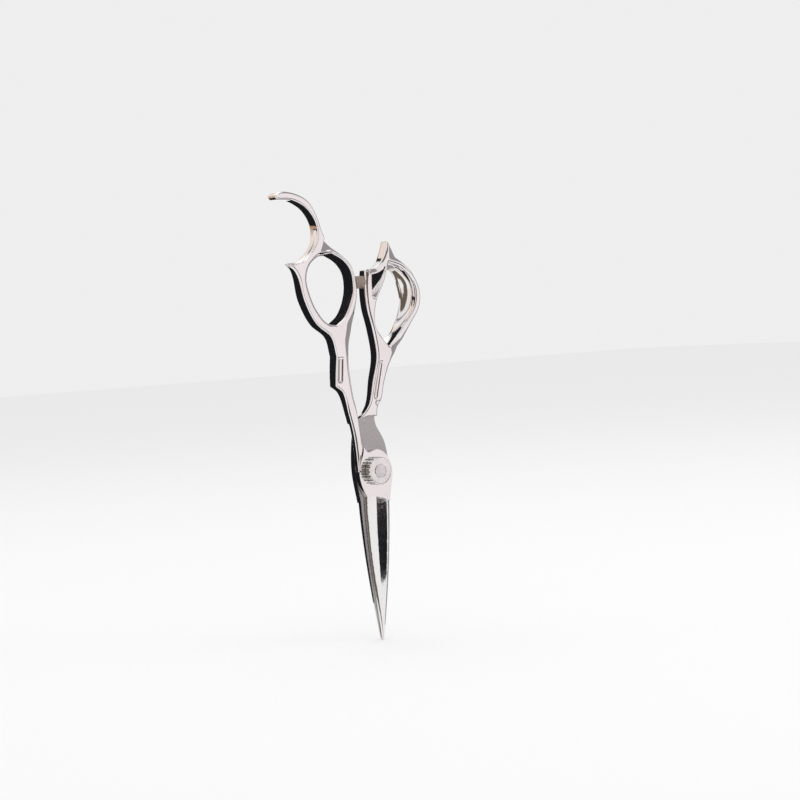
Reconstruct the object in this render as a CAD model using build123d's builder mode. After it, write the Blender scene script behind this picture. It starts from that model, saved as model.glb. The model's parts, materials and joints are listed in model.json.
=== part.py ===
"""Hair cutting shears with offset rings and a finger rest, standing points down.

The pivot axis is the Y axis. The origin lies on it, in the plane where the two halves ride on
each other. +Z runs along the closed blades towards the rings and -Y is the side with the tension
dial. A depth called "front" is measured from the riding plane towards -Y.
"""

from build123d import *
import os

# --- driving dimensions, mm ---------------------------------------------------------------------
HANDLE_DEPTH = 6.0  # rings and shanks, front to back
PLATE_FRONT = 2.45  # outer face of each half round the pivot
RIDE_GAP = 0.05  # from the riding plane to each half's inner face
STEP_RADIUS = 21.0  # the handles reach across the riding plane only outside this radius
SHANK_TAPER_TOP = 43.0  # height from which the shanks thin towards the pivot
SHANK_TAPER_END = 22.0
SHANK_INNER_END = 1.8  # how far a shank still crosses the riding plane at its lower end

# Outlines of the handles, as (x, z) runs from corner to corner, each one a smooth curve.
FINGER_OUTLINE = [
    [
        (-39.6, 106.3), (-37.4, 107.5), (-30.2, 106.8), (-24.0, 103.6), (-20.3, 97.5), (-18.2, 91.4),
        (-15.0, 87.1), (-9.5, 83.0), (-5.3, 78.2), (-3.9, 72.0), (-4.2, 66.0), (-6.6, 56.4),
        (-9.0, 48.0), (-9.5, 40.0), (-8.4, 30.0), (-6.9, 23.0), (-5.5, 10.5),
    ],
    [(-5.5, 10.5), (-5.2, 9.4), (-6.4, 4.5), (-6.9, 0.3)],
    [(-6.9, 0.3), (-7.9, -0.2)],
    [(-7.9, -0.2), (-8.4, 8.8), (-9.2, 15.5), (-10.8, 22.2), (-13.4, 30.8), (-16.6, 33.4)],
    [(-16.6, 33.4), (-16.2, 38.5), (-15.4, 44.8)],
    [
        (-15.4, 44.8), (-17.3, 52.0), (-23.8, 57.4), (-28.6, 66.2), (-30.7, 75.4), (-32.2, 78.4),
        (-35.4, 80.7),
    ],
    [
        (-35.4, 80.7), (-28.0, 81.8), (-21.6, 88.2), (-21.2, 94.8), (-24.8, 100.6), (-31.5, 104.2),
        (-38.9, 104.9), (-39.6, 106.3),
    ],
]
FINGER_HOLE = [
    [
        (-14.9, 84.0), (-9.6, 81.0), (-6.3, 76.8), (-5.5, 71.0), (-6.8, 65.3), (-10.0, 59.8),
        (-14.5, 56.5),
    ],
    [
        (-14.5, 56.5), (-18.4, 57.4), (-22.4, 61.4), (-25.6, 67.6), (-27.1, 74.6), (-25.4, 79.6),
        (-20.8, 83.0), (-14.9, 84.0),
    ],
]
THUMB_OUTLINE = [
    [(1.3, 77.2), (5.6, 77.8), (8.9, 80.1), (11.0, 83.6), (12.6, 88.0)],
    [
        (12.6, 88.0), (17.3, 82.7), (22.9, 76.5), (26.8, 68.6), (26.2, 62.0), (21.2, 55.1),
        (15.5, 47.2), (10.4, 41.2), (7.2, 33.6), (5.6, 27.2), (3.8, 24.6), (3.1, 20.0),
    ],
    [(3.1, 20.0), (-5.6, 20.0)],
    [
        (-5.6, 20.0), (-0.6, 25.4), (1.8, 34.7), (4.0, 43.7), (2.7, 54.2), (0.7, 62.8), (0.4, 71.0),
        (1.3, 77.2),
    ],
]
THUMB_HOLE_FRONT = [
    [(12.2, 79.6), (18.9, 77.1), (24.2, 70.2), (23.6, 62.2), (16.4, 53.4), (10.1, 47.3)],
    [(10.1, 47.3), (4.4, 55.2), (5.0, 63.8), (10.0, 73.0), (12.2, 79.6)],
]
THUMB_HOLE_BACK = [
    [(13.6, 77.6), (17.0, 75.6), (20.0, 67.0), (19.8, 62.0), (14.6, 52.2), (10.2, 49.6)],
    [(10.2, 49.6), (5.2, 55.4), (6.0, 63.6), (11.2, 73.2), (13.6, 77.6)],
]

HEEL_Z = -8.0  # where the ground part of the blade starts
TIP_Z = -65.0
EDGE_AT_HEEL = 4.7  # from the centre line to the cutting edge
SPINE_AT_HEEL = 5.9
BLADE_CURVE = 1.7  # 1 would be a straight taper
BLADE_THICK_HEEL = 2.4
BLADE_THICK_TIP = 1.0
TIP_LAND = 0.35  # how far the spine stands outside the centre line at the point
EDGE_OVERLAP = 0.12  # how far a shut edge reaches past the centre line at the point
RIDE_LINE = 0.8  # width of the flat behind the cutting edge
RIDE_SHARE = 0.2  # most of a blade's width that each flat may take
CROWN_PLACE = 0.62  # where across a blade it is thickest, from the cutting edge
HOLLOW_DEPTH = 0.22  # hollow grind of the inner face
HOLLOW_FULL_WIDTH = 8.0  # narrower sections have a shallower hollow
SPINE_FLAT = 0.72  # share of the thickness that the spine's flat takes
BLADE_STATIONS = (0, 0.2, 0.45, 0.7, 0.88, 1)

BOLT_RADIUS = 2.0
BOLT_FLATS = 3.2  # across the two flats that key the bolt
BOLT_HEAD_RADIUS = 4.2
BOLT_HEAD = 0.8
BOLT_HEAD_SINK = 0.05  # how far the head lies below the rear face
THREAD_RADIUS = 1.7
BUSH_RADIUS = 2.7
RUNNING = 0.04  # radial clearance of a shaft in its hole
PRESSED = 0.01  # radial clearance of a piece that is pressed or keyed in
WASHER_RADIUS = 5.0
WASHER_RECESS = 0.3
WASHER_CLEAR = 0.03  # between the washer and the rear half
BEARING_RADIUS = 4.6
BEARING_SEAT = 1.0  # depth of the counterbore that holds the lower race
RACE = 0.35
RACE_BORE = 2.3
BALL_GAP = 1.0  # between the races
BALL_RADIUS = 0.48
BALL_CIRCLE = 3.4
BALL_COUNT = 9
CAGE = 0.45
CAGE_RIM = 4.5
CAGE_BORE = 2.2
CAGE_POCKET = 0.53
SPRING = 0.35  # height of the cone spring washer
SPRING_PLATE = 0.18
SPRING_RIM = 4.4
SPRING_BORE = 2.3
CLICK = 0.35
CLICK_RIM = 4.55
CLICK_DIMPLES = 4
DIMPLE_RADIUS = 0.5
DIAL_RADIUS = 5.4
DIAL_CLEAR = 0.2  # between the front half and the dial's rim
DIAL_TOP = 5.5
DIAL_EDGE = 0.6
DIAL_NOTCHES = 20
NOTCH_RADIUS = 0.62
NOTCH_CIRCLE = 5.7
THREAD_CLEAR = 0.05
BEARING_CLEAR = 0.15  # round the bearing, inside the dial
SCREW_CLEAR = 0.3  # round the screw's head
SCREW_HEAD_RADIUS = 2.5
SCREW_HEAD = 0.55
SCREW_SINK = 0.2  # how far the head lies below the dial's face
SCREW_RADIUS = 0.8
SCREW_LENGTH = 1.4  # of its shank, below the click plate's face
SCREW_EDGE = 0.2
SLOT_WIDTH = 0.5
SLOT_DEPTH = 0.25

BUMPER_Z = 72.5
BUMPER_RADIUS = 2.4
BUMPER_EDGE = 0.7
BUMPER_TIP_X = -3.7  # just short of the finger ring when the shears are shut
BUMPER_SEAT_X = 0.8  # bottom of the flat pocket in the thumb ring's inner flank
BUMPER_STEM_RADIUS = 1.2
BUMPER_STEM = 2.6

HALF_DEPTH = HANDLE_DEPTH / 2
STEM_END_X = BUMPER_SEAT_X + BUMPER_STEM
PAST = 1.0  # how far cutters run past a face
BEARING_FLOOR = PLATE_FRONT - BEARING_SEAT
RACE_TOP = BEARING_FLOOR + RACE
BALL_LEVEL = RACE_TOP + BALL_GAP / 2
UPPER_RACE = RACE_TOP + BALL_GAP
SPRING_SEAT = UPPER_RACE + RACE
CLICK_SEAT = SPRING_SEAT + SPRING
CLICK_TOP = CLICK_SEAT + CLICK
SCREW_SEAT = DIAL_TOP - SCREW_SINK
HEAD_INNER = -PLATE_FRONT + BOLT_HEAD_SINK + BOLT_HEAD


# --- helpers --------------------------------------------------------------------------------------
def outlined(runs, front=0.0):
    """Face inside a closed outline at a depth, with a smooth curve or a line for each run."""
    with BuildSketch(Plane.XZ.offset(front)) as outline:
        with BuildLine():
            for run in runs:
                if len(run) == 2:
                    Line(*run)
                else:
                    Spline(*run)
        make_face()
    return outline.sketch


def round_outline(radius, front=0.0):
    """Circle on the pivot axis."""
    with BuildSketch(Plane.XZ.offset(front)) as outline:
        Circle(radius)
    return outline.sketch


def keyed_outline(clearance, front=0.0):
    """Round shaft with two flats."""
    with BuildSketch(Plane.XZ.offset(front)) as outline:
        Circle(BOLT_RADIUS + clearance)
        Rectangle(2 * PAST + 2 * BOLT_RADIUS, BOLT_FLATS + 2 * clearance, mode=Mode.INTERSECT)
    return outline.sketch


def raised(outline, height, mode=Mode.ADD):
    """Extrudes an outline towards the front."""
    extrude(outline, amount=height, dir=(0, -1, 0), mode=mode)


def disc(radius, low, high, mode=Mode.ADD):
    """Round slab on the pivot axis, from one depth to another."""
    raised(round_outline(radius, low), high - low, mode)


def side_wedge(face_front, end_front):
    """Cutter that thins a shank towards the pivot, from one depth at the taper's top to another."""
    outside = 3 * face_front
    with BuildSketch(Plane.YZ.offset(-2 * STEP_RADIUS)) as outline:
        with BuildLine():
            Polyline(
                (-outside, SHANK_TAPER_TOP),
                (-face_front, SHANK_TAPER_TOP),
                (-end_front, SHANK_TAPER_END),
                (-end_front, -PAST),
                (-outside, -PAST),
                close=True,
            )
        make_face()
    extrude(outline.sketch, amount=4 * STEP_RADIUS, mode=Mode.SUBTRACT)


def across_flank(radius, from_x, to_x, mode=Mode.ADD):
    """Round bar along X at the bumper's height."""
    with Locations(((from_x + to_x) / 2, 0, BUMPER_Z)):
        Cylinder(radius, to_x - from_x, rotation=(0, 90, 0), mode=mode)


# --- the ground blades ----------------------------------------------------------------------------
def blade_section(share):
    """Section of the front blade, at a share of the way from heel to point: a flat behind the
    edge, a hollow inner face, a flat along the spine and a convex face out to the cutting edge."""
    spread = 1 - share**BLADE_CURVE
    edge = -EDGE_AT_HEEL * spread - EDGE_OVERLAP
    spine = SPINE_AT_HEEL * spread + TIP_LAND
    thick = BLADE_THICK_HEEL + (BLADE_THICK_TIP - BLADE_THICK_HEEL) * share
    width = spine - edge
    flat = min(RIDE_LINE, RIDE_SHARE * width)
    hollow = HOLLOW_DEPTH * min(1, width / HOLLOW_FULL_WIDTH)
    with BuildSketch(Plane.XY.offset(HEEL_Z + (TIP_Z - HEEL_Z) * share)) as section:
        with BuildLine():
            Line((edge, -RIDE_GAP), (edge + flat, -RIDE_GAP))
            ThreePointArc(
                (edge + flat, -RIDE_GAP),
                ((edge + spine) / 2, -RIDE_GAP - hollow),
                (spine - flat, -RIDE_GAP),
            )
            Line((spine - flat, -RIDE_GAP), (spine, -RIDE_GAP))
            Line((spine, -RIDE_GAP), (spine, -thick * SPINE_FLAT))
            ThreePointArc(
                (spine, -thick * SPINE_FLAT),
                (edge + CROWN_PLACE * width, -thick),
                (edge, -RIDE_GAP),
            )
        make_face()
    return section.sketch.faces()[0]


with BuildPart() as blank:
    loft([blade_section(share) for share in BLADE_STATIONS])


def finger_plate_outline(front):
    """Front half round the pivot, from the crotch of the handles to the heel of the blade."""
    with BuildSketch(Plane.XZ.offset(front)) as outline:
        with BuildLine():
            Spline(
                (-6.7, 9.6), (-5.5, 9.6), (-3.2, 7.3), (0.0, 8.0), (5.6, 5.7), (8.0, 0.0), (7.3, -5.5),
                (6.1, -12.0),
            )
            ThreePointArc((6.1, -12.0), (1.0, -10.2), (-4.8, -9.6))
            Spline((-4.8, -9.6), (-6.6, -6.4), (-7.9, -0.2))
            Line((-7.9, -0.2), (-6.7, 9.6))
        make_face()
    return outline.sketch


def thumb_plate_outline(front):
    """Rear half round the pivot, up to the step where the polished shank starts."""
    with BuildSketch(Plane.XZ.offset(front)) as outline:
        with BuildLine():
            Spline(
                (3.1, 22.0), (3.4, 17.0), (5.9, 12.8), (7.8, 6.5), (8.2, 1.0), (7.0, -5.5),
                (4.8, -9.6),
            )
            ThreePointArc((4.8, -9.6), (-1.0, -10.2), (-6.1, -12.0))
            Spline((-6.1, -12.0), (-7.3, -5.5), (-8.0, 0.0), (-7.9, 6.0), (-7.2, 12.0), (-4.9, 22.0))
            Line((-4.9, 22.0), (3.1, 22.0))
        make_face()
    return outline.sketch


# --- finger half: in front of the riding plane round the pivot ------------------------------------
with BuildPart() as finger_handle:
    raised(outlined(FINGER_OUTLINE, -HALF_DEPTH), HANDLE_DEPTH)
    raised(outlined(FINGER_HOLE, -HALF_DEPTH), HANDLE_DEPTH, Mode.SUBTRACT)
    side_wedge(HALF_DEPTH, PLATE_FRONT)
    side_wedge(-HALF_DEPTH, -SHANK_INNER_END)
    disc(STEP_RADIUS, -HALF_DEPTH - PAST, RIDE_GAP, Mode.SUBTRACT)
finger_handle.part.label = "finger_handle"

with BuildPart() as finger_blade:
    raised(finger_plate_outline(RIDE_GAP), PLATE_FRONT - RIDE_GAP)
    add(blank.part)
    raised(outlined(FINGER_OUTLINE), HANDLE_DEPTH, Mode.SUBTRACT)
    disc(WASHER_RADIUS + RUNNING, 0, RIDE_GAP + WASHER_RECESS, Mode.SUBTRACT)
    disc(BUSH_RADIUS + PRESSED, 0, PLATE_FRONT, Mode.SUBTRACT)
    disc(BEARING_RADIUS + RUNNING, BEARING_FLOOR, PLATE_FRONT + PAST, Mode.SUBTRACT)
finger_blade.part.label = "finger_blade"

# --- thumb half: behind the riding plane round the pivot ------------------------------------------
with BuildPart() as thumb_handle:
    raised(outlined(THUMB_OUTLINE, -HALF_DEPTH), HANDLE_DEPTH)
    loft(
        [outlined(THUMB_HOLE_FRONT, HALF_DEPTH).face(), outlined(THUMB_HOLE_BACK, -HALF_DEPTH).face()],
        mode=Mode.SUBTRACT,
    )
    side_wedge(HALF_DEPTH, SHANK_INNER_END)
    side_wedge(-HALF_DEPTH, -PLATE_FRONT)
    disc(STEP_RADIUS, -HALF_DEPTH - PAST, HALF_DEPTH + PAST, Mode.SUBTRACT)
    across_flank(BUMPER_RADIUS + PRESSED, BUMPER_TIP_X, BUMPER_SEAT_X, Mode.SUBTRACT)
    across_flank(BUMPER_STEM_RADIUS + PRESSED, BUMPER_SEAT_X, STEM_END_X + PRESSED, Mode.SUBTRACT)
thumb_handle.part.label = "thumb_handle"

with BuildPart() as thumb_blade:
    raised(thumb_plate_outline(-PLATE_FRONT), PLATE_FRONT - RIDE_GAP)
    disc(STEP_RADIUS, -PLATE_FRONT, -RIDE_GAP, Mode.INTERSECT)
    add(blank.part.rotate(Axis.Z, 180))
    disc(BOLT_HEAD_RADIUS + RUNNING, -PLATE_FRONT - PAST, HEAD_INNER + PRESSED, Mode.SUBTRACT)
    raised(keyed_outline(PRESSED, -PLATE_FRONT), PLATE_FRONT, Mode.SUBTRACT)
thumb_blade.part.label = "thumb_blade"

with BuildPart() as bumper:
    across_flank(BUMPER_RADIUS, BUMPER_TIP_X, BUMPER_SEAT_X)
    fillet(bumper.edges().filter_by(GeomType.CIRCLE).sort_by(Axis.X)[0], BUMPER_EDGE)
    across_flank(BUMPER_STEM_RADIUS, BUMPER_SEAT_X, STEM_END_X)
bumper.part.label = "bumper"

# --- pivot: keyed bolt, washer, bush, thrust bearing, spring, click plate and dial ----------------
with BuildPart() as pivot_bolt:
    disc(BOLT_HEAD_RADIUS, HEAD_INNER - BOLT_HEAD, HEAD_INNER)
    raised(keyed_outline(0, HEAD_INNER), -HEAD_INNER)
    disc(BOLT_RADIUS, 0, SPRING_SEAT)
    raised(keyed_outline(0, SPRING_SEAT), CLICK_TOP - SPRING_SEAT)
    disc(THREAD_RADIUS, CLICK_TOP, SCREW_SEAT)
    disc(SCREW_RADIUS + PRESSED, CLICK_TOP - SCREW_LENGTH - PRESSED, DIAL_TOP, Mode.SUBTRACT)
pivot_bolt.part.label = "pivot_bolt"

with BuildPart() as glide_washer:
    disc(WASHER_RADIUS, -RIDE_GAP + WASHER_CLEAR, RIDE_GAP + WASHER_RECESS)
    disc(BOLT_RADIUS + 2 * RUNNING, -RIDE_GAP, RIDE_GAP + WASHER_RECESS, Mode.SUBTRACT)
glide_washer.part.label = "glide_washer"

with BuildPart() as pivot_bush:
    disc(BUSH_RADIUS, RIDE_GAP + WASHER_RECESS, BEARING_FLOOR)
    disc(BOLT_RADIUS + RUNNING, RIDE_GAP, BEARING_FLOOR, Mode.SUBTRACT)
pivot_bush.part.label = "pivot_bush"

with BuildPart() as lower_race:
    disc(BEARING_RADIUS, BEARING_FLOOR, RACE_TOP)
    disc(RACE_BORE, BEARING_FLOOR, RACE_TOP, Mode.SUBTRACT)
lower_race.part.label = "lower_race"

with BuildPart() as ball_cage:
    disc(CAGE_RIM, BALL_LEVEL - CAGE / 2, BALL_LEVEL + CAGE / 2)
    disc(CAGE_BORE, RACE_TOP, UPPER_RACE, Mode.SUBTRACT)
    with Locations(Plane.XZ.offset(BALL_LEVEL)):
        with PolarLocations(BALL_CIRCLE, BALL_COUNT):
            Cylinder(CAGE_POCKET, BALL_GAP, mode=Mode.SUBTRACT)
ball_cage.part.label = "ball_cage"

with BuildPart() as bearing_balls:
    with Locations(Plane.XZ.offset(BALL_LEVEL)):
        with PolarLocations(BALL_CIRCLE, BALL_COUNT):
            Sphere(BALL_RADIUS)
bearing_balls.part.label = "bearing_balls"

with BuildPart() as upper_race:
    disc(BEARING_RADIUS, UPPER_RACE, SPRING_SEAT)
    disc(BOLT_RADIUS + PRESSED, UPPER_RACE, SPRING_SEAT, Mode.SUBTRACT)
upper_race.part.label = "upper_race"

with BuildPart() as spring_washer:
    with BuildSketch(Plane.XY):
        with BuildLine():
            Polyline(
                (SPRING_BORE, -CLICK_SEAT + SPRING_PLATE),
                (SPRING_RIM, -SPRING_SEAT),
                (SPRING_RIM, -SPRING_SEAT - SPRING_PLATE),
                (SPRING_BORE, -CLICK_SEAT),
                close=True,
            )
        make_face()
    revolve(axis=Axis.Y)
spring_washer.part.label = "spring_washer"

with BuildPart() as click_plate:
    disc(CLICK_RIM, CLICK_SEAT, CLICK_TOP)
    raised(keyed_outline(PRESSED, CLICK_SEAT), CLICK, Mode.SUBTRACT)
    with Locations(Plane.XZ.offset(CLICK_SEAT)):
        with PolarLocations(BALL_CIRCLE, CLICK_DIMPLES):
            Cylinder(DIMPLE_RADIUS, 2 * CLICK, mode=Mode.SUBTRACT)
click_plate.part.label = "click_plate"

with BuildPart() as tension_dial:
    disc(DIAL_RADIUS, PLATE_FRONT + DIAL_CLEAR, DIAL_TOP)
    fillet(tension_dial.edges().filter_by(GeomType.CIRCLE).sort_by(Axis.Y)[0], DIAL_EDGE)
    disc(BEARING_RADIUS + BEARING_CLEAR, PLATE_FRONT, CLICK_TOP + THREAD_CLEAR, Mode.SUBTRACT)
    disc(THREAD_RADIUS + THREAD_CLEAR, PLATE_FRONT, DIAL_TOP, Mode.SUBTRACT)
    disc(SCREW_HEAD_RADIUS + SCREW_CLEAR, SCREW_SEAT - THREAD_CLEAR, DIAL_TOP, Mode.SUBTRACT)
    with Locations(Plane.XZ.offset(DIAL_TOP)):
        with PolarLocations(NOTCH_CIRCLE, DIAL_NOTCHES):
            Cylinder(NOTCH_RADIUS, 2 * DIAL_TOP, mode=Mode.SUBTRACT)
tension_dial.part.label = "tension_dial"

with BuildPart() as lock_screw:
    disc(SCREW_RADIUS, CLICK_TOP - SCREW_LENGTH, SCREW_SEAT)
    disc(SCREW_HEAD_RADIUS, SCREW_SEAT, SCREW_SEAT + SCREW_HEAD)
    fillet(lock_screw.edges().filter_by(GeomType.CIRCLE).sort_by(Axis.Y)[0], SCREW_EDGE)
    with Locations((0, -SCREW_SEAT - SCREW_HEAD, 0)):
        Box(2 * SCREW_HEAD_RADIUS, 2 * SLOT_DEPTH, SLOT_WIDTH, mode=Mode.SUBTRACT)
lock_screw.part.label = "lock_screw"

# --- files ----------------------------------------------------------------------------------------
os.makedirs("parts", exist_ok=True)
export_step(finger_handle.part, "parts/finger_handle.step")
export_step(finger_blade.part, "parts/finger_blade.step")
export_step(thumb_handle.part, "parts/thumb_handle.step")
export_step(thumb_blade.part, "parts/thumb_blade.step")
export_step(bumper.part, "parts/bumper.step")
export_step(pivot_bolt.part, "parts/pivot_bolt.step")
export_step(glide_washer.part, "parts/glide_washer.step")
export_step(pivot_bush.part, "parts/pivot_bush.step")
export_step(lower_race.part, "parts/lower_race.step")
export_step(ball_cage.part, "parts/ball_cage.step")
export_step(bearing_balls.part, "parts/bearing_balls.step")
export_step(upper_race.part, "parts/upper_race.step")
export_step(spring_washer.part, "parts/spring_washer.step")
export_step(click_plate.part, "parts/click_plate.step")
export_step(tension_dial.part, "parts/tension_dial.step")
export_step(lock_screw.part, "parts/lock_screw.step")
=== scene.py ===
"""Looks of the hair cutting shears: polished handles, ground blades, pivot hardware and studio."""

import json
import math

import bpy
import numpy as np
from mathutils import Matrix, Vector


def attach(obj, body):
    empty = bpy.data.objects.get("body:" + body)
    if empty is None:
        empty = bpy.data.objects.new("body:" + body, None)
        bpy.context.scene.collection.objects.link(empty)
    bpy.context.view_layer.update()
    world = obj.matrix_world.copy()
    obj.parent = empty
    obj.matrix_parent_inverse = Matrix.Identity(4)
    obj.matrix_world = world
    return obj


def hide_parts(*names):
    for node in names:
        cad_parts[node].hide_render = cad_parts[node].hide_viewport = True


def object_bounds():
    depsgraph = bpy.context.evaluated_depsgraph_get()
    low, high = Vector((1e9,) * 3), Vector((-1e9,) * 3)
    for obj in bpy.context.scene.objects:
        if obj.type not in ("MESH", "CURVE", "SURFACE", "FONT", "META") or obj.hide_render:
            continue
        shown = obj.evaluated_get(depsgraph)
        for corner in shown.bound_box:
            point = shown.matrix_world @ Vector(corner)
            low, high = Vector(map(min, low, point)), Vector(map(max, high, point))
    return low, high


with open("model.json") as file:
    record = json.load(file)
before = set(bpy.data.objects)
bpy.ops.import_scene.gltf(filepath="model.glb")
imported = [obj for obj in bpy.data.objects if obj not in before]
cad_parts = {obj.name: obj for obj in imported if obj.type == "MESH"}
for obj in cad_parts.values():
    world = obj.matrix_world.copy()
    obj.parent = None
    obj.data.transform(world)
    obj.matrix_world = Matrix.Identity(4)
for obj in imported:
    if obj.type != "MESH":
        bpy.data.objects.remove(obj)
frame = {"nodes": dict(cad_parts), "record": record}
cad_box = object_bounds()

MM = 0.001  # in metres

# --- sizes of the polished handles, mm, in the CAD's frame ----------------------------------------
CELL = 0.25  # size of the cells that a handle's skin is cut from
SMOOTHING_PASSES = 3
CURVE_STEP = 0.35  # between the points of a smoothed outline
HALF_DEPTH = 3.0  # of a handle, at its rings
PLATE_DEPTH = 2.45  # of the half plate that a handle grows from, at the pivot
RIDE_GAP = 0.05  # between the two halves
STEP_RADIUS = 21.0  # inside this radius from the pivot a half keeps to its own side

# Outlines of the handles as (x, z) runs from corner to corner, each one a smooth curve. They
# follow the CAD's outlines.
FINGER_OUTLINE = [
    [
        (-39.6, 106.3), (-37.4, 107.5), (-30.2, 106.8), (-24.0, 103.6), (-20.3, 97.5), (-18.2, 91.4),
        (-15.0, 87.1), (-9.5, 83.0), (-5.3, 78.2), (-3.9, 72.0), (-4.2, 66.0), (-6.6, 56.4),
        (-9.0, 48.0), (-9.5, 40.0), (-8.4, 30.0), (-6.9, 23.0), (-5.5, 10.5),
    ],
    [(-5.5, 10.5), (-5.2, 9.4), (-6.4, 4.5), (-6.9, 0.3)],
    [(-6.9, 0.3), (-7.9, -0.2)],
    [(-7.9, -0.2), (-8.4, 8.8), (-9.2, 15.5), (-10.8, 22.2), (-13.4, 30.8), (-16.6, 33.4)],
    [(-16.6, 33.4), (-16.2, 38.5), (-15.4, 44.8)],
    [
        (-15.4, 44.8), (-17.3, 52.0), (-23.8, 57.4), (-28.6, 66.2), (-30.7, 75.4), (-32.2, 78.4),
        (-35.4, 80.7),
    ],
    [
        (-35.4, 80.7), (-28.0, 81.8), (-21.6, 88.2), (-21.2, 94.8), (-24.8, 100.6), (-31.5, 104.2),
        (-38.9, 104.9), (-39.6, 106.3),
    ],
]
FINGER_HOLE = [
    [
        (-14.9, 84.0), (-9.6, 81.0), (-6.3, 76.8), (-5.5, 71.0), (-6.8, 65.3), (-10.0, 59.8),
        (-14.5, 56.5),
    ],
    [
        (-14.5, 56.5), (-18.4, 57.4), (-22.4, 61.4), (-25.6, 67.6), (-27.1, 74.6), (-25.4, 79.6),
        (-20.8, 83.0), (-14.9, 84.0),
    ],
]
THUMB_OUTLINE = [
    [(1.3, 77.2), (5.6, 77.8), (8.9, 80.1), (11.0, 83.6), (12.6, 88.0)],
    [
        (12.6, 88.0), (17.3, 82.7), (22.9, 76.5), (26.8, 68.6), (26.2, 62.0), (21.2, 55.1),
        (15.5, 47.2), (10.4, 41.2), (7.2, 33.6), (5.6, 27.2), (3.8, 24.6), (3.1, 20.0),
    ],
    [(3.1, 20.0), (-5.6, 20.0)],
    [
        (-5.6, 20.0), (-0.6, 25.4), (1.8, 34.7), (4.0, 43.7), (2.7, 54.2), (0.7, 62.8), (0.4, 71.0),
        (1.3, 77.2),
    ],
]
THUMB_HOLE_FRONT = [
    [(12.2, 79.6), (18.9, 77.1), (24.2, 70.2), (23.6, 62.2), (16.4, 53.4), (10.1, 47.3)],
    [(10.1, 47.3), (4.4, 55.2), (5.0, 63.8), (10.0, 73.0), (12.2, 79.6)],
]
THUMB_HOLE_BACK = [
    [(13.6, 77.6), (17.0, 75.6), (20.0, 67.0), (19.8, 62.0), (14.6, 52.2), (10.2, 49.6)],
    [(10.2, 49.6), (5.2, 55.4), (6.0, 63.6), (11.2, 73.2), (13.6, 77.6)],
]


# --- a skin round a solid that is given as a field of signed distances ----------------------------
def smooth_run(run):
    """Points along a smooth curve through the run's points, without its last point."""
    knots = np.array(run, float)
    if len(knots) == 2:
        knots = np.array([knots[0], knots.mean(axis=0), knots[1]])
    padded = np.vstack([2 * knots[0] - knots[1], knots, 2 * knots[-1] - knots[-2]])
    curve = []
    for before, start, end, after in zip(padded, padded[1:], padded[2:], padded[3:]):
        step = end - start
        span_in = np.linalg.norm(start - before) ** 0.5
        span = np.linalg.norm(step) ** 0.5
        span_out = np.linalg.norm(after - end) ** 0.5
        leave = step - span * ((end - before) / (span_in + span) - (start - before) / span_in)
        arrive = step - span * ((after - start) / (span + span_out) - (after - end) / span_out)
        count = max(2, int(np.linalg.norm(step) / CURVE_STEP))
        t = (np.arange(count) / count)[:, None]
        curve.append(
            (2 * t**3 - 3 * t**2 + 1) * start + (t**3 - 2 * t**2 + t) * leave
            + (3 * t**2 - 2 * t**3) * end + (t**3 - t**2) * arrive
        )
    return np.vstack(curve)


def outline_distance(x, z, runs):
    """Signed distance in the plane of the blades to a closed outline, negative inside it."""
    loop = np.vstack([smooth_run(run) for run in runs])
    px, pz = np.meshgrid(x.ravel(), z.ravel(), indexing="ij")
    nearest = np.full(px.shape, np.inf)
    inside = np.zeros(px.shape, bool)
    for (ax, az), (bx, bz) in zip(loop, np.roll(loop, -1, axis=0)):
        dx, dz = bx - ax, bz - az
        along = np.clip(((px - ax) * dx + (pz - az) * dz) / (dx * dx + dz * dz), 0, 1)
        nearest = np.minimum(nearest, (px - ax - along * dx) ** 2 + (pz - az - along * dz) ** 2)
        if dz != 0:
            inside ^= ((az > pz) != (bz > pz)) & (px < ax + (pz - az) * dx / dz)
    return (np.sqrt(nearest) * np.where(inside, -1, 1))[:, None, :]


def blend_max(a, b, rounding):
    """Larger of two fields, with the corner between them rounded."""
    gap = np.maximum(rounding - np.abs(a - b), 0)
    return np.maximum(a, b) + gap * gap / (4 * rounding)


def blend_min(a, b, rounding):
    """Smaller of two fields, with the corner between them rounded."""
    return -blend_max(-a, -b, rounding)


def cut(solid, tool, rounding):
    """Takes a tool's solid away."""
    return blend_max(solid, -tool, rounding)


def ease(value, low, high):
    """0 below low, 1 above high, smooth between."""
    share = np.clip((value - low) / (high - low), 0, 1)
    return share * share * (3 - 2 * share)


def between(start, end, share):
    """From start at share 0 to end at share 1."""
    return start + (end - start) * share


def along(z, table):
    """Value at each height z, from (height, value) pairs."""
    heights, values = zip(*table)
    return np.interp(z, heights, values)


def bevel(side, face, across, deep):
    """Slanted facet between a side wall and a face, across mm wide and deep mm down."""
    return (side / across + face / deep + 1) / np.sqrt(1 / across**2 + 1 / deep**2)


TROUGH_DEPTH = 0.6
TROUGH_RIGHT = math.radians(34.5)  # how steeply its right wall goes down
TROUGH_LEFT = math.radians(20)
TROUGH_ENDS = math.radians(36.87)


def trough(x, z, front, top, end, width):
    """Shallow trough in a front face, left of the line between the points (x, z) top and end."""
    across = x - along(z, [end[::-1], top[::-1]])
    beyond = np.maximum(z - top[1], end[1] - z)
    right_wall = math.sin(TROUGH_RIGHT) * across - math.cos(TROUGH_RIGHT) * front
    left_wall = -math.sin(TROUGH_LEFT) * (across + width) - math.cos(TROUGH_LEFT) * front
    end_walls = math.sin(TROUGH_ENDS) * beyond - math.cos(TROUGH_ENDS) * front
    walls = np.maximum(np.maximum(right_wall, left_wall), end_walls)
    return np.maximum(walls, -front - TROUGH_DEPTH)


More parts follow.
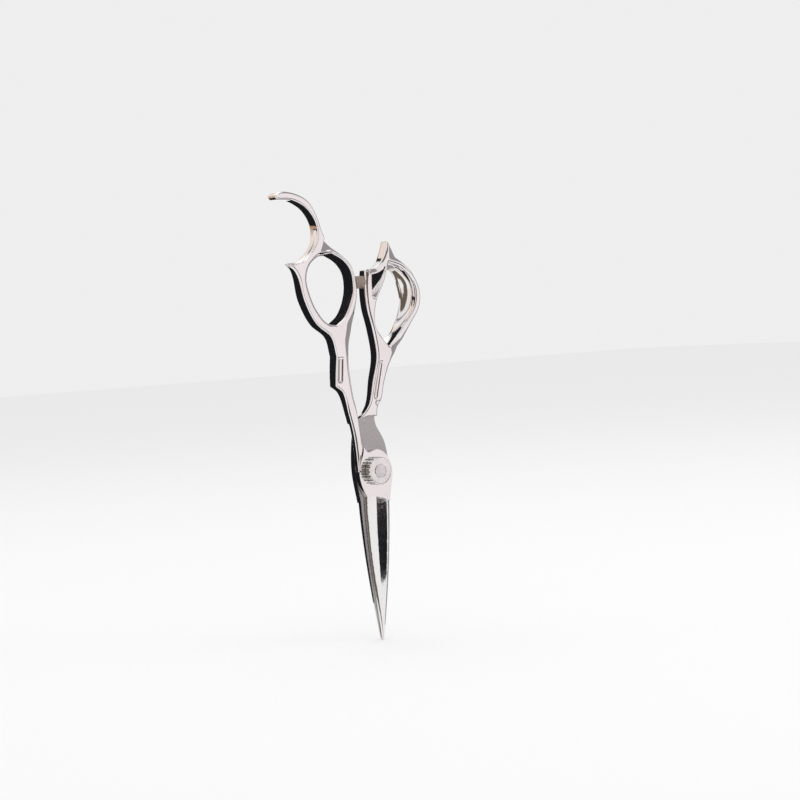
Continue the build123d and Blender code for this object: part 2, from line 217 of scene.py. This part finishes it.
def skin(field, low):
    """Points and four-sided faces where the field crosses zero, one point to each crossed cell."""
    solid = field < 0
    shape = np.array(field.shape) - 1
    corners = [np.array((i, j, k)) for i in (0, 1) for j in (0, 1) for k in (0, 1)]
    filled = np.zeros(shape, int)
    for corner in corners:
        filled += solid[tuple(slice(first, first + size) for first, size in zip(corner, shape))]
    crossed = (filled > 0) & (filled < len(corners))
    cells = np.argwhere(crossed)
    number = np.full(crossed.shape, -1)
    number[crossed] = np.arange(len(cells))
    total = np.zeros(cells.shape)
    hits = np.zeros(len(cells))
    for a in corners:
        for b in corners:
            if (b - a).min() < 0 or (b - a).sum() != 1:
                continue
            at_a = field[tuple((cells + a).T)]
            at_b = field[tuple((cells + b).T)]
            hit = (at_a < 0) != (at_b < 0)
            share = np.where(hit, at_a / np.where(hit, at_a - at_b, 1), 0)
            total += hit[:, None] * (a + share[:, None] * (b - a))
            hits += hit
    points = np.array(low) + CELL * (cells + total / hits[:, None])
    faces = []
    for axis in range(3):
        before = np.moveaxis(solid, axis, 0)[:-1]
        after = np.moveaxis(solid, axis, 0)[1:]
        places = np.argwhere(np.moveaxis(before != after, 0, axis))
        inner = solid[tuple(places.T)]
        u, v = np.eye(3, dtype=int)[(axis + 1) % 3], np.eye(3, dtype=int)[(axis + 2) % 3]
        quads = np.stack([number[tuple((places - shift).T)] for shift in (u + v, v, 0 * u, u)], axis=1)
        quads[~inner] = quads[~inner][:, ::-1]
        faces.append(quads)
    return points, np.vstack(faces)


def smoothed(points, faces):
    """Evens out the small steps that the cells leave."""
    edges = np.vstack([faces[:, [i, (i + 1) % 4]] for i in range(4)])
    for _ in range(SMOOTHING_PASSES):
        total = np.zeros(points.shape)
        count = np.zeros(len(points))
        for a, b in ((0, 1), (1, 0)):
            for axis in range(3):
                total[:, axis] += np.bincount(edges[:, a], points[edges[:, b], axis], len(points))
            count += np.bincount(edges[:, a], minlength=len(points))
        points = 0.5 * points + 0.5 * total / count[:, None]
    return points


def field_normals(field, points, low):
    """Directions in which the field grows, at points between the cells' corners."""
    place = (points - np.array(low)) / CELL
    corner = np.clip(place.astype(int), 0, np.array(field.shape) - 2)
    share = place - corner
    normals = np.zeros(points.shape)
    for axis, slope in enumerate(np.gradient(field)):
        for i, j, k in np.ndindex(2, 2, 2):
            weight = np.prod(np.where((i, j, k), share, 1 - share), axis=1)
            normals[:, axis] += weight * slope[corner[:, 0] + i, corner[:, 1] + j, corner[:, 2] + k]
    return normals / np.linalg.norm(normals, axis=1)[:, None]


def solid_piece(name, low, high, shape):
    """Object whose skin encloses the points where shape(x, y, z) is negative, in mm."""
    x, y, z = (np.arange(a, b, CELL) for a, b in zip(low, high))
    field = shape(x[:, None, None], y[None, :, None], z[None, None, :])
    points, faces = skin(field, low)
    points = smoothed(points, faces)
    mesh = bpy.data.meshes.new(name)
    mesh.from_pydata((points * MM).tolist(), [], faces.tolist())
    mesh.shade_smooth()
    mesh.normals_split_custom_set_from_vertices(field_normals(field, points, low).tolist())
    piece = bpy.data.objects.new(name, mesh)
    bpy.context.collection.objects.link(piece)
    return piece


# --- the finger handle ----------------------------------------------------------------------------
REST_CENTRE = (-32.2, 92.8)  # of the curve in which the little finger lies
REST_RADIUS = 11.4
WEB_START = (-19.8, 84.2)  # from here the web's floor deepens, along this direction in x and z
WEB_DIRECTION = (0.3, 0.95)
WEB_SLOPE = 0.36
WEB_DEPTH = 2.2
WEB_ROUNDING = 0.5
RING_RIM = 1.1  # width that stays standing between the web and the ring's hole
REST_RIM = 3.2  # and between the web and the finger rest
SPUR_ROOT_X = -29.3  # left of this the spur under the little finger thins to its point
SPUR_LENGTH = 8
SPUR_SLOPE = 0.42
SPUR_BACK_SHARE = 0.8  # how much of the thinning is at the back as well
FINGER_ROOT_FRONT = PLATE_DEPTH + 0.15  # depths of the shank where it leaves the pivot
FINGER_ROOT_BACK = 1.8
FINGER_HOLE_TAPER = 0.7  # the hole is this much smaller at the back
CHANNEL_EDGE = 0.35  # how far outside the outline the middle of the rest's channel runs
CHANNEL_Y = -1.25
CHANNEL_RADIUS = 1.15
CHANNEL_TOP = 93  # the channel ends here
CHANNEL_REACH = 2  # and this far from the finger rest's curve
FINGER_SHANK_MIDDLE = [(8, -7.0), (21, -8.7), (34, -12.0), (45, -12.7), (52, -13.2), (60, -13.5)]
FINGER_RIGHT_FACET = [
    (8, 0.5), (20, 0.6), (29, 1.2), (37, 1.4), (45, 1.7), (51, 3.0), (57, 3.4), (61, 1.6), (66, 0.6),
]
FINGER_LEFT_FACET = [(5, 1.1), (24, 1.0), (31, 0.3), (46, 0.4), (60, 0.5)]


def hollow_web(x, z, hole, rest):
    """Depth of the hollow between the finger ring and the finger rest."""
    fall = WEB_DIRECTION[0] * (x - WEB_START[0]) + WEB_DIRECTION[1] * (z - WEB_START[1])
    walls = blend_min(2 * (hole - RING_RIM), 3 * (rest - REST_RIM), WEB_ROUNDING)
    depth = np.clip(blend_min(walls, WEB_SLOPE * fall, WEB_ROUNDING), 0, WEB_DEPTH)
    return depth * ease(z, low=79, high=81) * ease(x, low=-24, high=-20)


def finger_faces(x, y, z, hole, rest):
    """Fields of the front and the back of the finger handle."""
    web = hollow_web(x, z, hole, rest)
    spur = SPUR_SLOPE * np.clip(SPUR_ROOT_X - x, 0, SPUR_LENGTH) * (1 - ease(z, low=84, high=87))
    front = between(FINGER_ROOT_FRONT, HALF_DEPTH, ease(z, low=18, high=42)) - web - spur
    back = between(FINGER_ROOT_BACK, HALF_DEPTH, ease(z, low=20, high=48)) - SPUR_BACK_SHARE * spur
    return -y - front, y - back


def finger_handle_shape(x, y, z):
    """Finger half: curved rest for the little finger, oval ring, web, and shank with a trough."""
    side = outline_distance(x, z, FINGER_OUTLINE)
    hole = outline_distance(x, z, FINGER_HOLE)
    rest = np.sqrt((x - REST_CENTRE[0]) ** 2 + (z - REST_CENTRE[1]) ** 2) - REST_RADIUS
    front, back = finger_faces(x, y, z, hole, rest)

    right = ease(x - along(z, FINGER_SHANK_MIDDLE), low=-0.4, high=0.6)
    facet = between(along(z, FINGER_LEFT_FACET), along(z, FINGER_RIGHT_FACET), right)
    body = blend_max(side, front, rounding=0.4)
    body = blend_max(body, bevel(side, front, across=facet, deep=0.4 + 0.24 * facet), rounding=0.2)
    body = blend_max(body, back, rounding=0.9)
    body = blend_max(body, bevel(side, back, across=1.0, deep=0.8), rounding=0.5)

    taper = FINGER_HOLE_TAPER * np.clip((y + HALF_DEPTH) / (2 * HALF_DEPTH), 0, 1)
    bore = -(hole + taper)
    facet = between(0.3, 1.1, ease(-x, low=13, high=21))
    body = blend_max(body, bore, rounding=0.3)
    body = blend_max(body, bevel(bore, front, across=facet, deep=0.25 + 0.3 * facet), rounding=0.2)

    channel = np.sqrt((side - CHANNEL_EDGE) ** 2 + (y - CHANNEL_Y) ** 2) - CHANNEL_RADIUS
    channel = np.maximum(channel, np.maximum(z - CHANNEL_TOP, rest - CHANNEL_REACH))
    body = cut(body, channel, rounding=0.15)
    shank_trough = trough(x, z, front, top=(-12.3, 44.3), end=(-13.15, 34.5), width=3.0)
    body = cut(body, shank_trough, rounding=0.05)
    step = np.minimum(STEP_RADIUS - np.sqrt(x * x + z * z), y + RIDE_GAP)
    return blend_max(body, step, rounding=0.2)


# --- the thumb handle -----------------------------------------------------------------------------
THUMB_ROOT_FRONT = 1.9  # depth of the shank where it leaves the pivot
HORN_X = 12.5  # right of this the horn stands out, in front of the ring
HORN_RIM = 1.5  # width of the ring's rim that doesn't rise with the horn
HORN_HEIGHT = 4
PANEL_LEFT = 3.3  # edges of the hollow panel beside the ring's hole
PANEL_RIGHT = 12.2
PANEL_TOP = 78.4
PANEL_FOOT = 65.9
PANEL_RIM = 0.9  # width that stays standing between the panel and the hole
PANEL_SLOPE = 0.22  # of the panel's floor, downwards
PANEL_DEPTH = 2.4
SCOOP_START = -0.8  # y from which the hole's wall is scooped towards its outline at the back
SCOOP_CURVE = 1.8
DIMPLE_CENTRE = (3.1, -2.4, 25.8)  # at the foot of the trough
DIMPLE_RADIUS = 0.95
THUMB_RIDGE = [
    (20, -0.5), (30, 3.2), (42, 7.5), (50, 8.0), (60, 9.0), (66, 12.0), (70, 14.0), (88, 14.0),
]
THUMB_RIGHT_FACET = [
    (30, 0.7), (42, 0.9), (44.5, 1.6), (47, 3.6), (50, 1.6), (55, 0.7), (66, 0.5), (76, 0.8),
    (82, 1.0),
]
THUMB_LEFT_FACET = [
    (20, 0.7), (30, 0.8), (44, 1.0), (60, 1.1), (74, 1.2), (77.5, 2.0), (80, 1.0),
]


def hollow_panel(x, z, hole):
    """Depth of the hollow panel between the thumb ring's hole and its left side."""
    depth = blend_min(2.5 * (x - PANEL_LEFT), 3 * (hole - PANEL_RIM), rounding=0.4)
    depth = blend_min(depth, PANEL_SLOPE * (PANEL_TOP - z), rounding=0.3)
    ends = np.minimum(2 * (PANEL_RIGHT - x), 2 * (z - PANEL_FOOT))
    return np.clip(np.minimum(depth, ends), 0, PANEL_DEPTH)


def thumb_faces(x, y, z, hole):
    """Fields of the front and the back of the thumb handle."""
    horn = np.minimum(0.55 * (x - HORN_X), 1.5 * (hole - HORN_RIM)) * ease(z, low=75, high=78)
    front = between(THUMB_ROOT_FRONT, HALF_DEPTH, ease(z, low=20, high=46))
    front = front - np.clip(horn, 0, HORN_HEIGHT) - hollow_panel(x, z, hole)
    back = between(PLATE_DEPTH, HALF_DEPTH, ease(z, low=20, high=46))
    return -y - front, y - back


def thumb_handle_shape(x, y, z):
    """Thumb half: horned ring, hollow panel, scooped inner wall, and shank with a trough."""
    side = outline_distance(x, z, THUMB_OUTLINE)
    hole_front = outline_distance(x, z, THUMB_HOLE_FRONT)
    hole_back = outline_distance(x, z, THUMB_HOLE_BACK)
    front, back = thumb_faces(x, y, z, hole_front)

    right = ease(x - along(z, THUMB_RIDGE), low=-1, high=1)
    facet = between(along(z, THUMB_LEFT_FACET), along(z, THUMB_RIGHT_FACET), right)
    body = blend_max(side, front, rounding=0.4)
    body = blend_max(body, bevel(side, front, across=facet, deep=0.35 + 0.5 * facet), rounding=0.25)
    body = blend_max(body, back, rounding=0.9)
    body = blend_max(body, bevel(side, back, across=1.2, deep=1.0), rounding=0.6)

    share = np.clip((y - SCOOP_START) / (HALF_DEPTH - SCOOP_START), 0, 1) ** SCOOP_CURVE
    bore = -between(hole_front, hole_back, share)
    body = blend_max(body, bore, rounding=0.25)
    body = blend_max(body, bevel(bore, front, across=0.7, deep=0.5), rounding=0.15)

    shank_trough = trough(x, z, front, top=(6.5, 41.8), end=(3.4, 27.3), width=2.4)
    body = cut(body, shank_trough, rounding=0.05)
    offsets = [place - centre for place, centre in zip((x, y, z), DIMPLE_CENTRE)]
    dimple = np.sqrt(offsets[0] ** 2 + offsets[1] ** 2 + offsets[2] ** 2) - DIMPLE_RADIUS
    body = cut(body, dimple, rounding=0.1)
    return blend_max(body, STEP_RADIUS - np.sqrt(x * x + z * z), rounding=0.25)


finger_handle = solid_piece(
    "finger_handle_skin", low=(-41, -3.6, -2), high=(-2.5, 3.7, 109), shape=finger_handle_shape
)
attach(finger_handle, "finger_half")
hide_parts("finger_handle")

thumb_handle = solid_piece(
    "thumb_handle_skin", low=(-7, -3.6, 18.5), high=(28.5, 3.7, 89.5), shape=thumb_handle_shape
)
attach(thumb_handle, "thumb_half")
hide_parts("thumb_handle")


# --- materials ------------------------------------------------------------------------------------
def material(name, colour, metallic, roughness):
    """New material with its principled shader's constants set."""
    made = bpy.data.materials.new(name)
    made.use_nodes = True
    shader = made.node_tree.nodes["Principled BSDF"]
    shader.inputs["Base Color"].default_value = (*colour, 1)
    shader.inputs["Metallic"].default_value = metallic
    shader.inputs["Roughness"].default_value = roughness
    return made, shader


def noise(made, scale, detail=3.0, stretch=(1, 1, 1)):
    """Noise over the object's own coordinates, stretch being how dense it is along each axis."""
    nodes, links = made.node_tree.nodes, made.node_tree.links
    place = nodes.new("ShaderNodeTexCoord")
    size = nodes.new("ShaderNodeMapping")
    size.inputs["Scale"].default_value = stretch
    texture = nodes.new("ShaderNodeTexNoise")
    texture.inputs["Scale"].default_value = scale
    texture.inputs["Detail"].default_value = detail
    links.new(place.outputs["Object"], size.inputs["Vector"])
    links.new(size.outputs["Vector"], texture.inputs["Vector"])
    return texture.outputs["Fac"]


def ranged(made, value, low, high, start=0.3, end=0.7):
    """Maps a value's range from start to end, such as a noise's middle, to low..high."""
    node = made.node_tree.nodes.new("ShaderNodeMapRange")
    node.inputs["From Min"].default_value = start
    node.inputs["From Max"].default_value = end
    node.inputs["To Min"].default_value = low
    node.inputs["To Max"].default_value = high
    made.node_tree.links.new(value, node.inputs["Value"])
    return node.outputs["Result"]


def two_tone(made, shader, value, dark, light):
    """Colour that drifts between two tones."""
    node = made.node_tree.nodes.new("ShaderNodeMix")
    node.data_type = "RGBA"
    node.inputs["A"].default_value = (*dark, 1)
    node.inputs["B"].default_value = (*light, 1)
    made.node_tree.links.new(value, node.inputs["Factor"])
    made.node_tree.links.new(node.outputs["Result"], shader.inputs["Base Color"])


def bumps(made, shader, layers):
    """Chain of bump layers, each a height, its depth in metres and its strength."""
    normal = None
    for height, depth, strength in layers:
        node = made.node_tree.nodes.new("ShaderNodeBump")
        node.inputs["Distance"].default_value = depth
        node.inputs["Strength"].default_value = strength
        made.node_tree.links.new(height, node.inputs["Height"])
        if normal:
            made.node_tree.links.new(normal, node.inputs["Normal"])
        normal = node.outputs["Normal"]
    made.node_tree.links.new(normal, shader.inputs["Normal"])


def polished_steel():
    """Mirror polish with buffing haze and a few fine hairlines."""
    made, shader = material("polished_steel", (0.86, 0.84, 0.835), metallic=1, roughness=0.06)
    haze = noise(made, scale=90, detail=4)
    drift = ranged(made, haze, low=0, high=1)
    two_tone(made, shader, drift, dark=(0.84, 0.815, 0.81), light=(0.90, 0.88, 0.875))
    rough = ranged(made, haze, low=0.035, high=0.10)
    made.node_tree.links.new(rough, shader.inputs["Roughness"])
    wave = noise(made, scale=140, detail=1)
    hairlines = noise(made, scale=700, detail=2, stretch=(1, 1, 0.04))
    bumps(made, shader, [(wave, 0.12 * MM, 0.25), (hairlines, 0.01 * MM, 0.12)])
    return made


def distance_from_riding_plane(made):
    """Distance in metres of a point from the plane in which the two blades meet."""
    nodes, links = made.node_tree.nodes, made.node_tree.links
    split = nodes.new("ShaderNodeSeparateXYZ")
    distance = nodes.new("ShaderNodeMath")
    distance.operation = "ABSOLUTE"
    links.new(nodes.new("ShaderNodeTexCoord").outputs["Object"], split.inputs["Vector"])
    links.new(split.outputs["Y"], distance.inputs[0])
    return distance.outputs["Value"]


def ground_steel():
    """Satin riding faces with fine grinding lines across the blade, and polished outer faces."""
    made, shader = material("ground_steel", (0.5, 0.49, 0.48), metallic=1, roughness=0.3)
    distance = distance_from_riding_plane(made)
    outer = ranged(made, distance, low=0, high=1, start=0.25 * MM, end=0.4 * MM)
    two_tone(made, shader, outer, dark=(0.47, 0.455, 0.45), light=(0.85, 0.83, 0.825))
    lines = noise(made, scale=3500, detail=2, stretch=(0.04, 0.3, 1))
    rough = made.node_tree.nodes.new("ShaderNodeMix")
    links = made.node_tree.links
    links.new(outer, rough.inputs["Factor"])
    links.new(ranged(made, lines, low=0.24, high=0.33), rough.inputs["A"])
    links.new(ranged(made, lines, low=0.05, high=0.09), rough.inputs["B"])
    links.new(rough.outputs["Result"], shader.inputs["Roughness"])
    bumps(made, shader, [(lines, 0.005 * MM, 0.2)])
    return made


def turned_metal(name, dark, light, rough_low, rough_high):
    """Small turned or stamped metal piece."""
    made, shader = material(name, light, metallic=1, roughness=rough_low)
    grain = noise(made, scale=1200, detail=3, stretch=(1, 0.15, 1))
    cloud = noise(made, scale=200, detail=2)
    two_tone(made, shader, ranged(made, cloud, low=0, high=1), dark, light)
    rough = ranged(made, grain, low=rough_low, high=rough_high)
    made.node_tree.links.new(rough, shader.inputs["Roughness"])
    bumps(made, shader, [(grain, 0.01 * MM, 0.3)])
    return made


def soft_material(name, dark, light, rough_low, rough_high, scale):
    """Rubber or plastic with a fine moulded grain."""
    made, shader = material(name, light, metallic=0, roughness=rough_low)
    grain = noise(made, scale, detail=4)
    two_tone(made, shader, ranged(made, grain, low=0, high=1), dark, light)
    rough = ranged(made, grain, low=rough_low, high=rough_high)
    made.node_tree.links.new(rough, shader.inputs["Roughness"])
    bumps(made, shader, [(grain, 0.03 * MM, 0.4)])
    return made


# Name, dark and light tone, lowest and highest roughness.
TURNED_METALS = [
    ("hardware_steel", (0.66, 0.65, 0.64), (0.80, 0.79, 0.78), 0.10, 0.22),
    ("dial_steel", (0.74, 0.73, 0.72), (0.86, 0.85, 0.84), 0.07, 0.18),
    ("bearing_steel", (0.62, 0.62, 0.63), (0.78, 0.78, 0.79), 0.10, 0.2),
    ("spring_steel", (0.28, 0.29, 0.33), (0.42, 0.43, 0.46), 0.22, 0.36),
    ("bush_bronze", (0.52, 0.33, 0.15), (0.70, 0.48, 0.25), 0.22, 0.36),
    ("cage_brass", (0.68, 0.50, 0.20), (0.83, 0.66, 0.33), 0.18, 0.3),
]
# The same, and the scale of the grain.
SOFT_MATERIALS = [
    ("bumper_rubber", (0.20, 0.155, 0.13), (0.30, 0.24, 0.205), 0.40, 0.6, 900),
    ("glide_plastic", (0.80, 0.78, 0.74), (0.90, 0.89, 0.86), 0.35, 0.5, 700),
]
MATERIALS = {"polished_steel": polished_steel(), "ground_steel": ground_steel()}
for row in TURNED_METALS:
    MATERIALS[row[0]] = turned_metal(*row)
for row in SOFT_MATERIALS:
    MATERIALS[row[0]] = soft_material(*row)

SLOT_OF = {part["node"]: part["material_slot"] for part in frame["record"]["subparts"]}

for node_name, node_object in frame["nodes"].items():
    node_object.data.materials.clear()
    node_object.data.materials.append(MATERIALS[SLOT_OF[node_name]])

for handle in (finger_handle, thumb_handle):
    handle.data.materials.append(MATERIALS["polished_steel"])


# --- studio ---------------------------------------------------------------------------------------
CAMERA_YAW = 38.0  # degrees that the camera stands to the left of the shears' front
CAMERA_PITCH = 2.0
CAMERA_ROLL = 3.5
CAMERA_DISTANCE = 0.9
CAMERA_LENS = 105.3
CAMERA_SENSOR = 36
AIM_RIGHT = 0.01077  # the camera looks this far to the right of the pivot, and this far above it
AIM_UP = 0.02715
FLOOR_SIZE = 8.0
FLOOR_DROP = 0.0004  # gap under the points
FLOOR_LEVEL = cad_box[0][2] - FLOOR_DROP
MAT_LEVEL = FLOOR_LEVEL + 0.0002
WORLD_STRENGTH = 0.86
SHEARS_MIDDLE = Vector((0, 0, 0.03))

# Cards round the shears, which only reflections see. Bearings are in degrees, with 0 in front.
SCREEN_RADIUS = 0.5
SCREEN_TOP = 0.28
HOOD_RADIUS = 0.32
HOOD_TOP = 0.62
SCREEN_FOOT_ARC = (SCREEN_RADIUS, FLOOR_LEVEL)  # each arc is a radius and a height
SCREEN_TOP_ARC = (SCREEN_RADIUS, SCREEN_TOP)
HOOD_TOP_ARC = (HOOD_RADIUS, HOOD_TOP)
MAT_EDGE_ARC = (SCREEN_RADIUS, MAT_LEVEL)
RIBBON_STEP = 4.0  # degrees between the folds of a curved card
COMB_MIDDLE = (-0.021, 0)  # about which the cards behind the rings curve

LEATHER = (0.012, 0.012, 0.015)
BRASS = (0.42, 0.27, 0.17)
OLIVE = (0.14, 0.118, 0.088)
BLUSH = (0.93, 0.84, 0.83)
PEARL = (0.94, 0.875, 0.89)
GREY = (0.33, 0.305, 0.32)
WHITE = (1.0, 0.98, 0.97)
SAND = (0.93, 0.80, 0.72)


def studio_camera():
    """Camera in front and to the left, a little above, leaning with the shears."""
    yaw, pitch, roll = (math.radians(a) for a in (CAMERA_YAW, CAMERA_PITCH, CAMERA_ROLL))
    level = Vector((math.cos(yaw), -math.sin(yaw), 0))
    ahead = Vector((math.sin(yaw), math.cos(yaw), 0)) * math.cos(pitch)
    ahead.z = -math.sin(pitch)
    upright = level.cross(ahead)
    right = level * math.cos(roll) - upright * math.sin(roll)
    up = level * math.sin(roll) + upright * math.cos(roll)
    data = bpy.data.cameras.new("camera")
    data.lens = CAMERA_LENS
    data.sensor_width = CAMERA_SENSOR
    data.clip_start = 0.01
    camera = bpy.data.objects.new("camera", data)
    place = right * AIM_RIGHT + up * AIM_UP - ahead * CAMERA_DISTANCE
    turn = Matrix((right, up, -ahead)).transposed().to_4x4()
    camera.matrix_world = Matrix.Translation(place) @ turn
    bpy.context.collection.objects.link(camera)
    bpy.context.scene.camera = camera


def softbox(name, place, width, height, power):
    """Rectangular light that faces the shears."""
    data = bpy.data.lights.new(name, "AREA")
    data.shape = "RECTANGLE"
    data.size = width
    data.size_y = height
    data.energy = power
    lamp = bpy.data.objects.new(name, data)
    lamp.location = place
    lamp.rotation_euler = (SHEARS_MIDDLE - Vector(place)).to_track_quat("-Z", "Y").to_euler()
    bpy.context.collection.objects.link(lamp)


def staged(name, points, faces, paint):
    """Mesh that belongs to the studio."""
    mesh = bpy.data.meshes.new(name)
    mesh.from_pydata(points, [], faces)
    mesh.materials.append(paint)
    piece = bpy.data.objects.new(name, mesh)
    bpy.context.collection.objects.link(piece)
    return piece


def floor():
    """Plain pale floor, with no gloss in which the cards could show."""
    paint, shader = material("floor_paint", (0.95, 0.95, 0.95), metallic=0, roughness=1)
    shader.inputs["Specular IOR Level"].default_value = 0
    half = FLOOR_SIZE / 2
    corners = [(-half, -half), (half, -half), (half, half), (-half, half)]
    staged("floor", [(x, y, FLOOR_LEVEL) for x, y in corners], [(0, 1, 2, 3)], paint)


def glow(name, colour):
    """Even glow of one colour."""
    made = bpy.data.materials.new(name)
    made.use_nodes = True
    nodes = made.node_tree.nodes
    nodes.remove(nodes["Principled BSDF"])
    light = nodes.new("ShaderNodeEmission")
    light.inputs["Color"].default_value = (*colour, 1)
    made.node_tree.links.new(light.outputs["Emission"], nodes["Material Output"].inputs["Surface"])
    return made


def faded_glow(name, low, low_colour, high, high_colour):
    """Glow that turns from one colour to another between two heights."""
    made = glow(name, low_colour)
    nodes, links = made.node_tree.nodes, made.node_tree.links
    split = nodes.new("ShaderNodeSeparateXYZ")
    height = nodes.new("ShaderNodeMapRange")
    height.inputs["From Min"].default_value = low
    height.inputs["From Max"].default_value = high
    mix = nodes.new("ShaderNodeMix")
    mix.data_type = "RGBA"
    mix.inputs["A"].default_value = (*low_colour, 1)
    mix.inputs["B"].default_value = (*high_colour, 1)
    links.new(nodes.new("ShaderNodeTexCoord").outputs["Object"], split.inputs["Vector"])
    links.new(split.outputs["Z"], height.inputs["Value"])
    links.new(height.outputs["Result"], mix.inputs["Factor"])
    links.new(mix.outputs["Result"], nodes["Emission"].inputs["Color"])
    return made


def only_in_reflections(piece):
    """Keeps a card out of the picture and out of the light on other things."""
    piece.visible_camera = False
    piece.visible_diffuse = False
    piece.visible_shadow = False


def ribbon(name, bearings, arcs, paint, middle=(0, 0)):
    """Card between two arcs about a point, each arc a (radius, height)."""
    start, end = bearings
    count = max(1, round((end - start) / RIBBON_STEP))
    points = []
    for i in range(count + 1):
        bearing = math.radians(start + (end - start) * i / count)
        for radius, height in arcs:
            x = middle[0] + radius * math.sin(bearing)
            y = middle[1] - radius * math.cos(bearing)
            points.append((x, y, height))
    faces = [(2 * i, 2 * i + 2, 2 * i + 3, 2 * i + 1) for i in range(count)]
    only_in_reflections(staged(name, points, faces, paint))


def zone(name, bearings, colour):
    """Coloured sector round the shears: an upright screen."""
    paint = glow(name, colour)
    ribbon(name + "_screen", bearings, (SCREEN_FOOT_ARC, SCREEN_TOP_ARC), paint)


def hooded_zone(name, bearings, colour):
    """Coloured sector with a hood over its screen and a mat before it."""
    paint = glow(name, colour)
    ribbon(name + "_screen", bearings, (SCREEN_FOOT_ARC, SCREEN_TOP_ARC), paint)
    ribbon(name + "_hood", bearings, (SCREEN_TOP_ARC, HOOD_TOP_ARC), paint)
    ribbon(name + "_mat", bearings, ((0.03, MAT_LEVEL), MAT_EDGE_ARC), paint)


def leather_zone():
    """Dark sector behind the shears on the left, which whitens overhead."""
    paint = glow("leather", LEATHER)
    faded = faded_glow("leather_hood", low=0.40, low_colour=LEATHER, high=0.55, high_colour=WHITE)
    ribbon("leather_mat", (-215, -108), ((0.05, MAT_LEVEL), MAT_EDGE_ARC), paint)
    ribbon("leather_screen", (-180, -112), (SCREEN_FOOT_ARC, SCREEN_TOP_ARC), paint)
    ribbon("leather_hood", (-180, -112), (SCREEN_TOP_ARC, HOOD_TOP_ARC), faded)


def front_cards():
    """Dark mat before the shears on the right, and a grey hood above it."""
    pocket = ((0.15, MAT_LEVEL), (0.495, MAT_LEVEL))
    ribbon("pocket_mat", (12, 60), pocket, glow("pocket_mat", LEATHER))
    ribbon("front_hood", (20, 66), (SCREEN_TOP_ARC, HOOD_TOP_ARC), glow("front_hood", GREY))


def comb_cards():
    """Brass and sand card close behind the rings, with a dark shelf at its foot."""
    paint = faded_glow("comb_card", low=0.083, low_colour=BRASS, high=0.104, high_colour=SAND)
    ribbon("comb_card", (-192, -108), ((0.06, 0.081), (0.06, 0.17)), paint, COMB_MIDDLE)
    shelf = glow("comb_shelf", LEATHER)
    ribbon("comb_shelf", (-230, -90), ((0.016, 0.08), (0.062, 0.08)), shelf, COMB_MIDDLE)


def studio_world():
    """Even white surroundings."""
    world = bpy.data.worlds.new("studio")
    world.use_nodes = True
    background = world.node_tree.nodes["Background"]
    background.inputs["Color"].default_value = (1, 1, 1, 1)
    background.inputs["Strength"].default_value = WORLD_STRENGTH
    bpy.context.scene.world = world
    bpy.context.scene.view_settings.view_transform = "Standard"


studio_camera()
floor()
softbox("key", place=(0.75, -0.95, 0.75), width=0.8, height=0.8, power=1.6)
softbox("top", place=(0.1, 0.1, 1.3), width=1.2, height=1.2, power=3)
leather_zone()
zone("blush", (-112, -40), BLUSH)
hooded_zone("olive", (-40, -22), OLIVE)
zone("pearl", (-22, 66), PEARL)
hooded_zone("grey", (66, 140), GREY)
zone("white", (140, 180), WHITE)
front_cards()
comb_cards()
studio_world()
